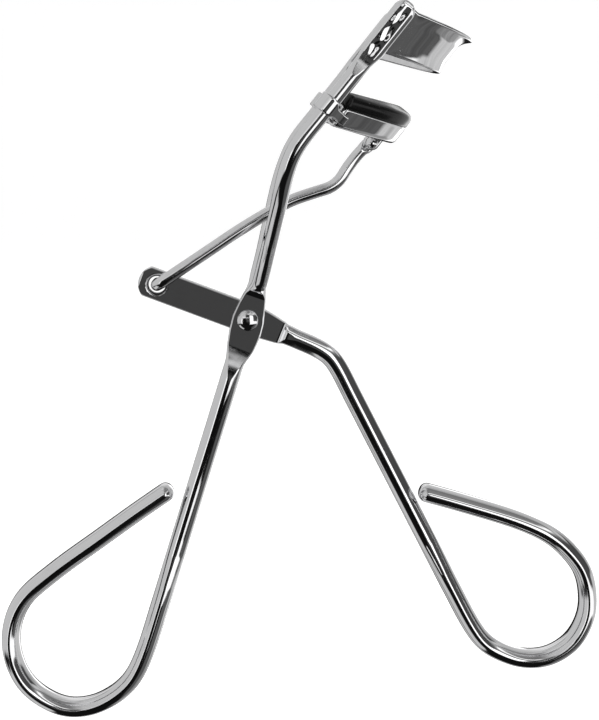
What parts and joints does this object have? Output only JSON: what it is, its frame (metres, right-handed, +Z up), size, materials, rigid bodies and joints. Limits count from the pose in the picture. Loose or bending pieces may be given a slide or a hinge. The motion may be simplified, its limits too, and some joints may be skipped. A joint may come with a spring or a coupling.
{
  "type": "eyelash curler",
  "caption": "Chromed wire eyelash curler with open finger loops and a curved jaw that slides along a wire cage to pinch lashes against a curved plate over a black pad.",
  "frame": {"origin": "centre of the bounding box's underside, below the finger loops, with the curler standing upright on its loops as a hand holds it", "axes": "+Z up towards the jaws, +Y along the rivet from the near rail to the far rail, +X the way the jaws bulge; handle A is on the -X side and handle B on the +X side"},
  "size_m": [0.0894, 0.034, 0.1053],
  "materials": {
    "chrome": "bright nickel-chrome plating on steel, polished",
    "pad": "smooth glossy black silicone"
  },
  "bodies": {
    "frame": {"near_arm": "chrome", "far_rail": "chrome", "upper_jaw": "chrome", "pivot_rivet": "chrome"},
    "lever": {"lever_handle": "chrome"},
    "jaw": {"lower_jaw": "chrome", "jaw_pad": "pad", "near_guide_sleeve": "chrome", "far_guide_sleeve": "chrome", "hinge_pin": "chrome"},
    "pusher": {"pusher_link": "chrome"}
  },
  "joints": [
    {"name": "lever_pivot", "type": "hinge", "parent": "frame", "child": "lever", "pos_m": [-0.00747, 0, 0.06073], "axis": [0, 1, 0], "range_deg": [0, 28.5]},
    {"name": "jaw_slide", "type": "slide", "parent": "frame", "child": "jaw", "axis": [0.6252, 0, 0.7804], "range_m": [0, 0.00668]},
    {"name": "pusher_hinge", "type": "hinge", "parent": "jaw", "child": "pusher", "pos_m": [0.01035, 0, 0.08617], "axis": [0, 1, 0], "range_deg": [0, 1.3]}
  ],
  "couplings": [
    {"joint": "jaw_slide", "follows": "lever_pivot", "m_per_rad": 0.013373},
    {"joint": "pusher_hinge", "follows": "lever_pivot", "ratio": 0.043269}
  ]
}
